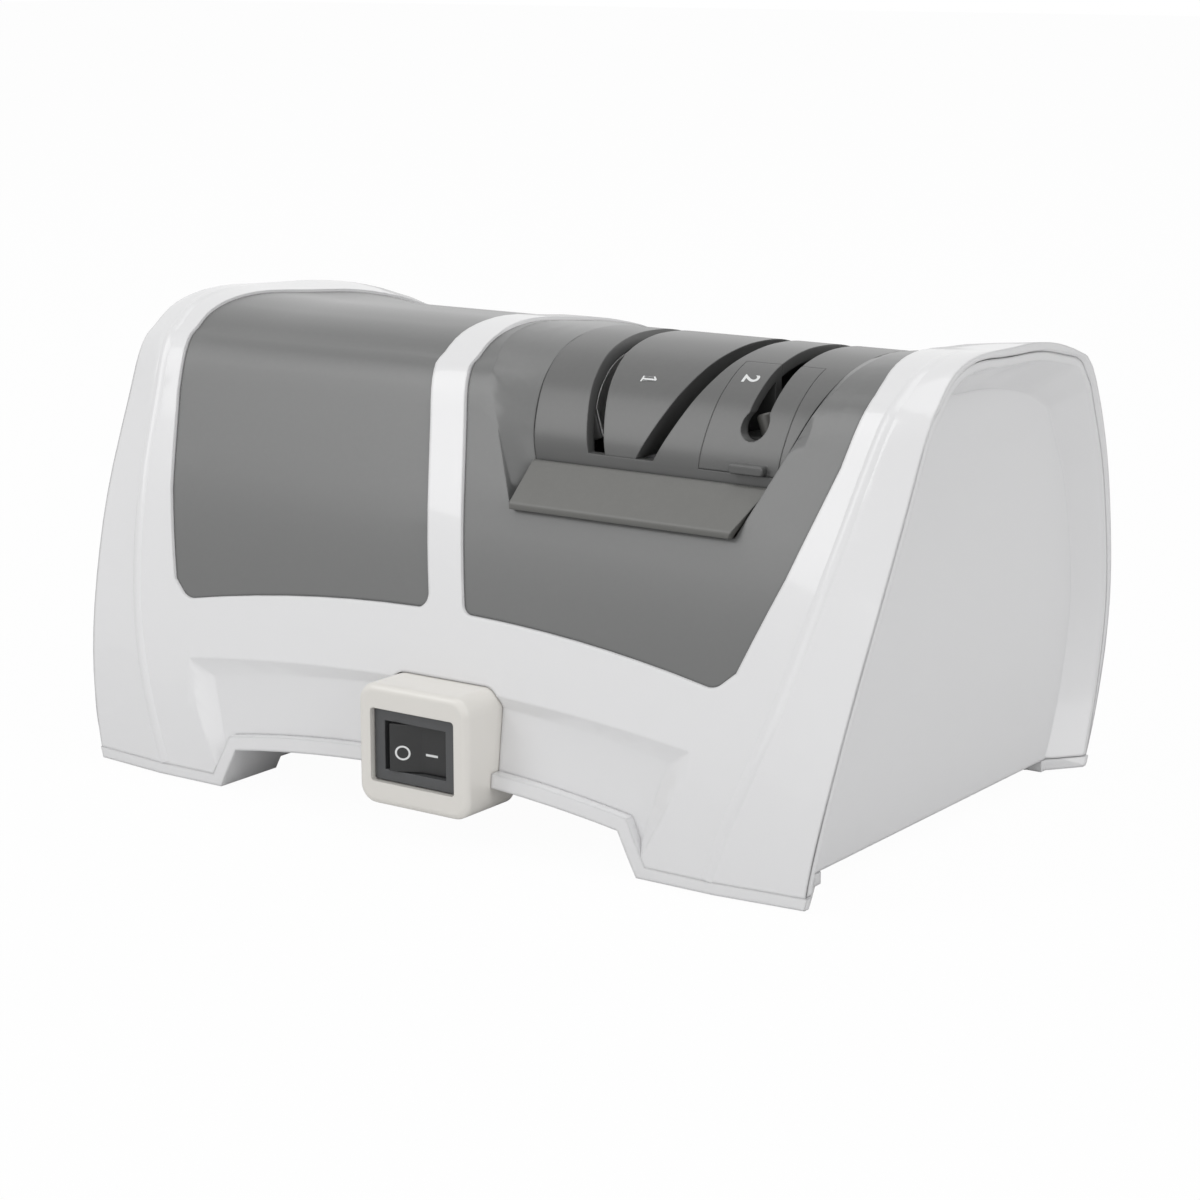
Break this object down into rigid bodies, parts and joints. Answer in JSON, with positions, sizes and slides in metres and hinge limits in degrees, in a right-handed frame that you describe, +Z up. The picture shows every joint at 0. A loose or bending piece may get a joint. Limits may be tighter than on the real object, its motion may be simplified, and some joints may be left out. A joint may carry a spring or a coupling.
{
  "type": "electric knife sharpener",
  "caption": "Table-top electric knife sharpener with a slotted guide saddle, motor-driven grinding wheels, a pull-out fine cartridge and a rocker switch.",
  "frame": {"origin": "centre of the bounding box on the surface that the sharpener stands on", "axes": "+Z up, +X to the right of someone who faces the switch, which is on the -Y side"},
  "size_m": [0.2044, 0.1423, 0.101],
  "materials": {
    "white_casing": "glossy moulded ABS",
    "grey_cover": "satin soft-touch",
    "grey_guide": "satin moulded",
    "ledge_grey": "satin moulded",
    "warm_white": "semi-gloss moulded",
    "switch_black": "satin",
    "rocker_black": "satin",
    "ceramic": "fired ceramic",
    "spring_steel": "bright spring steel",
    "brass": "stamped",
    "zinc_steel": "zinc plated",
    "black_nylon": "moulded nylon",
    "ferrite": "sintered",
    "bronze": "sintered bronze",
    "carbon": "pressed carbon",
    "lamination_steel": "stacked laminations",
    "copper": "enamelled",
    "ground_steel": "ground",
    "coupling_rubber": "moulded rubber",
    "diamond_grit": "grit coated",
    "white_frame": "moulded nylon",
    "board_green": "solder mask",
    "component_black": "moulded",
    "foot_rubber": "moulded rubber"
  },
  "bodies": {
    "body": {"casing": "white_casing", "base": "white_casing", "right_end_cap": "white_casing", "left_end_cap": "white_casing", "left_cover": "grey_cover", "right_cover": "grey_cover", "guide_saddle": "grey_guide", "coarse_wedge": "grey_guide", "knife_ledge": "ledge_grey", "blade_springs": "spring_steel", "switch_housing": "warm_white", "switch_body": "switch_black", "switch_terminals": "brass", "motor_can": "zinc_steel", "motor_end_bell": "black_nylon", "motor_magnets": "ferrite", "motor_bushes": "bronze", "motor_brushes": "carbon", "motor_cradle": "black_nylon", "motor_straps": "zinc_steel", "wheel_bracket": "white_frame", "spindle_bushes": "bronze", "rectifier_board": "board_green", "board_components": "component_black", "rubber_feet": "foot_rubber", "base_screws": "zinc_steel", "inlet_grommet": "foot_rubber"},
    "rotor": {"rotor_core": "lamination_steel", "rotor_windings": "copper", "commutator": "copper", "motor_shaft": "ground_steel", "shaft_coupling": "coupling_rubber", "wheel_spindle": "ground_steel", "left_wheel": "diamond_grit", "right_wheel": "diamond_grit", "wheel_spring": "spring_steel"},
    "rocker": {"switch_rocker": "rocker_black"},
    "cartridge": {"fine_cartridge": "grey_guide", "ceramic_rods": "ceramic"}
  },
  "joints": [
    {"name": "rotor_spin", "type": "hinge", "parent": "body", "child": "rotor", "pos_m": [0, -0.00245, 0.058], "axis": [1, 0, 0], "continuous": true},
    {"name": "rocker_tilt", "type": "hinge", "parent": "body", "child": "rocker", "pos_m": [0.0046, -0.06515, 0.0198], "axis": [0, 0, 1], "range_deg": [-24, 0]},
    {"name": "cartridge_slide", "type": "slide", "parent": "body", "child": "cartridge", "axis": [0, -1, 0], "range_m": [0, 0.03]}
  ]
}
